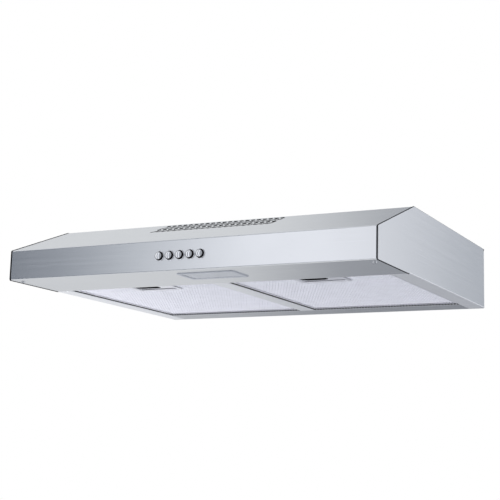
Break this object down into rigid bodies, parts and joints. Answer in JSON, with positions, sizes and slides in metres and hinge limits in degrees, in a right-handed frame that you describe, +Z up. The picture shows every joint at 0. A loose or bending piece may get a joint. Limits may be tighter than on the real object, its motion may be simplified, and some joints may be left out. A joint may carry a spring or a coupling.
{
  "type": "under cabinet range hood",
  "caption": "Slim under-cabinet range hood: sloped steel canopy with vent slots, swing-down grease filters, lamp, push buttons and blower.",
  "frame": {"origin": "middle of the top face's rear edge, where the cabinet's underside meets the wall", "axes": "+X along the front, from left to right as a cook sees it; +Y into the wall; +Z up"},
  "size_m": [0.6, 0.5055, 0.1016],
  "materials": {
    "brushed_body": "brushed lengthways",
    "chrome_trim": "polished",
    "filter_alloy": "satin, mill finish",
    "galvanised": "satin zinc coat",
    "lamp_trim": "satin grey",
    "lamp_diffuser": "frosted",
    "board": "satin",
    "black_plastic": "fine grain",
    "white_plastic": "satin",
    "impeller_plastic": "satin",
    "motor_steel": "satin",
    "copper_wire": "enamelled",
    "spring_steel": "satin",
    "cable_sheath": "matte"
  },
  "bodies": {
    "hood": {"foot_strip": "brushed_body", "front_panel": "brushed_body", "slope_panel": "brushed_body", "top_sheet": "brushed_body", "side_left": "brushed_body", "side_right": "brushed_body", "back_panel": "galvanised", "divider": "brushed_body", "corner_brackets": "galvanised", "body_screws": "spring_steel", "switch_bracket": "galvanised", "switch_block": "black_plastic", "bezel_rings": "chrome_trim", "button_springs": "spring_steel", "lamp_frame": "lamp_trim", "lamp_lens": "lamp_diffuser", "lamp_board": "board", "lamp_lid": "galvanised", "lamp_driver": "white_plastic", "scroll_housing": "galvanised", "scroll_cover": "galvanised", "inlet_ring": "black_plastic", "inlet_guard": "galvanised", "motor_can": "motor_steel", "motor_cap": "motor_steel", "motor_stator": "motor_steel", "motor_windings": "copper_wire", "motor_bearings": "chrome_trim", "capacitor": "white_plastic", "capacitor_clip": "galvanised", "outlet_plenum": "black_plastic", "outlet_collar": "galvanised", "damper_pin": "chrome_trim", "junction_box": "black_plastic", "junction_lid": "black_plastic", "terminal_block": "white_plastic", "cable_gland": "black_plastic", "wiring": "cable_sheath"},
    "impeller": {"impeller": "impeller_plastic", "rotor_core": "motor_steel", "motor_shaft": "chrome_trim"},
    "damper_left": {"damper_left": "galvanised"},
    "damper_right": {"damper_right": "galvanised"},
    "filter_left": {"filter_left_frame": "filter_alloy", "filter_left_faces": "filter_alloy", "filter_left_core": "filter_alloy", "filter_left_dish": "filter_alloy", "latch_spring_left": "spring_steel"},
    "filter_right": {"filter_right_frame": "filter_alloy", "filter_right_faces": "filter_alloy", "filter_right_core": "filter_alloy", "filter_right_dish": "filter_alloy", "latch_spring_right": "spring_steel"},
    "latch_left": {"latch_left": "filter_alloy"},
    "latch_right": {"latch_right": "filter_alloy"},
    "button_1": {"button_1": "chrome_trim"},
    "button_2": {"button_2": "chrome_trim"},
    "button_3": {"button_3": "chrome_trim"},
    "button_4": {"button_4": "chrome_trim"},
    "button_5": {"button_5": "chrome_trim"}
  },
  "joints": [
    {"name": "button_1_press", "type": "slide", "parent": "hood", "child": "button_1", "axis": [0, 1, 0], "range_m": [0, 0.003], "stiffness_N_per_m": 300},
    {"name": "button_2_press", "type": "slide", "parent": "hood", "child": "button_2", "axis": [0, 1, 0], "range_m": [0, 0.003], "stiffness_N_per_m": 300},
    {"name": "button_3_press", "type": "slide", "parent": "hood", "child": "button_3", "axis": [0, 1, 0], "range_m": [0, 0.003], "stiffness_N_per_m": 300},
    {"name": "button_4_press", "type": "slide", "parent": "hood", "child": "button_4", "axis": [0, 1, 0], "range_m": [0, 0.003], "stiffness_N_per_m": 300},
    {"name": "button_5_press", "type": "slide", "parent": "hood", "child": "button_5", "axis": [0, 1, 0], "range_m": [0, 0.003], "stiffness_N_per_m": 300},
    {"name": "filter_left_swing", "type": "hinge", "parent": "hood", "child": "filter_left", "pos_m": [-0.143, -0.0566, -0.098], "axis": [1, 0, 0], "range_deg": [0, 75]},
    {"name": "latch_left_slide", "type": "slide", "parent": "filter_left", "child": "latch_left", "axis": [0, 1, 0], "range_m": [0, 0.006], "stiffness_N_per_m": 200},
    {"name": "filter_right_swing", "type": "hinge", "parent": "hood", "child": "filter_right", "pos_m": [0.143, -0.0566, -0.098], "axis": [1, 0, 0], "range_deg": [0, 75]},
    {"name": "latch_right_slide", "type": "slide", "parent": "filter_right", "child": "latch_right", "axis": [0, 1, 0], "range_m": [0, 0.006], "stiffness_N_per_m": 200},
    {"name": "impeller_spin", "type": "hinge", "parent": "hood", "child": "impeller", "pos_m": [0, -0.116, -0.03], "axis": [0, 0, 1], "continuous": true},
    {"name": "damper_left_swing", "type": "hinge", "parent": "hood", "child": "damper_left", "pos_m": [0, -0.294, -0.02545], "axis": [0, 1, 0], "range_deg": [0, 75]},
    {"name": "damper_right_swing", "type": "hinge", "parent": "hood", "child": "damper_right", "pos_m": [0, -0.294, -0.02545], "axis": [0, -1, 0], "range_deg": [0, 75]}
  ]
}
